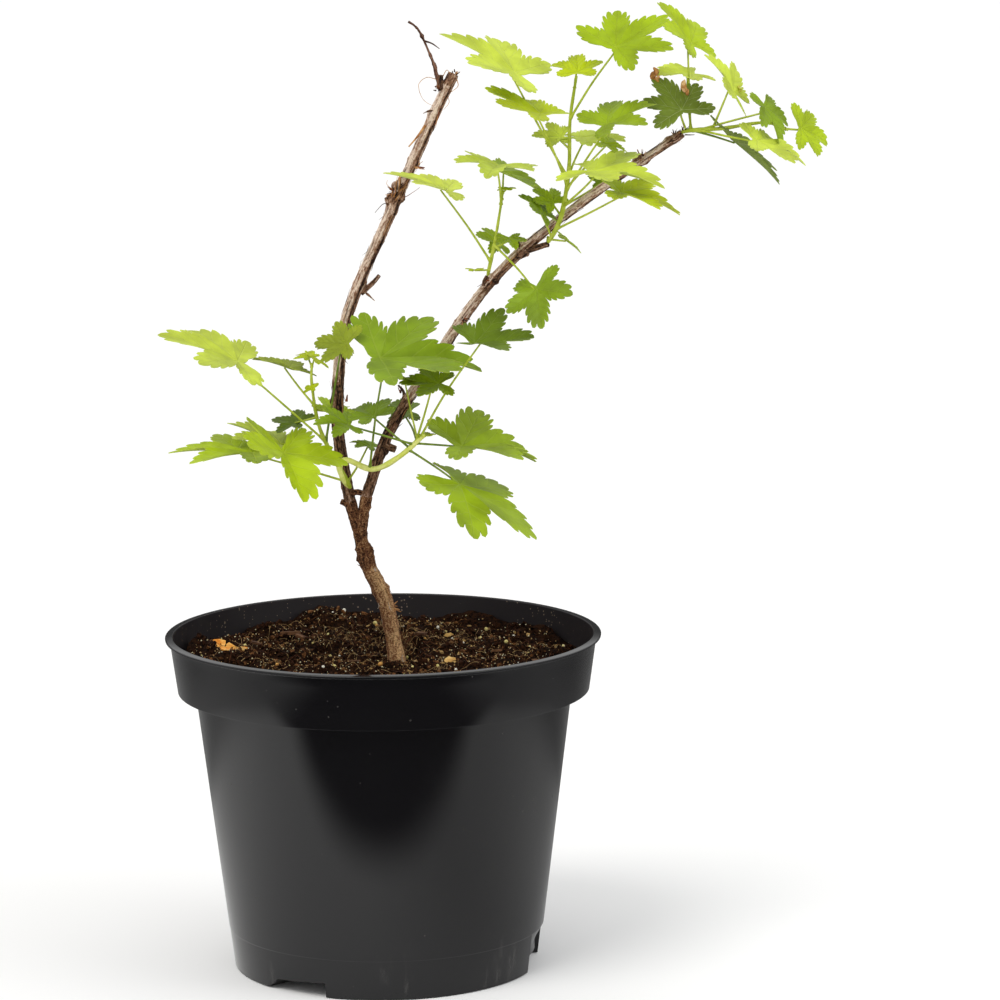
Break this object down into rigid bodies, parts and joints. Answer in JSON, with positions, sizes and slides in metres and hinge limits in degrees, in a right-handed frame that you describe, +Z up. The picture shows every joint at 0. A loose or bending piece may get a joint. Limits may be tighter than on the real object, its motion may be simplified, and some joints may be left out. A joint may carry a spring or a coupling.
{
  "type": "potted gooseberry shrub",
  "caption": "Young gooseberry shrub in a round black nursery pot: a leaning trunk that forks into two arching boughs, with sprays of lobed leaves on long stalks.",
  "frame": {"origin": "centre of the pot's flat underside", "axes": "+Z up along the pot's axis, -Y towards the front seen in the picture, +X to the right"},
  "size_m": [0.2573, 0.1704, 0.3748],
  "materials": {
    "black_plastic": "moulded black plastic, slightly glossy",
    "peat": "loose dark brown potting peat with pale grains",
    "dark_bark": "rough dark brown bark",
    "bark": "grey-tan bark that peels in strips",
    "leaf": "yellow-green lobed leaves, softly satin"
  },
  "bodies": {
    "root": {"pot": "black_plastic", "soil": "peat", "trunk": "dark_bark", "left_bough": "bark", "right_bough": "bark", "bare_twig": "dark_bark", "lower_left_spray": "leaf", "lower_right_spray": "leaf", "middle_spray": "leaf", "upper_spray": "leaf", "tip_spray": "leaf"}
  },
  "joints": []
}
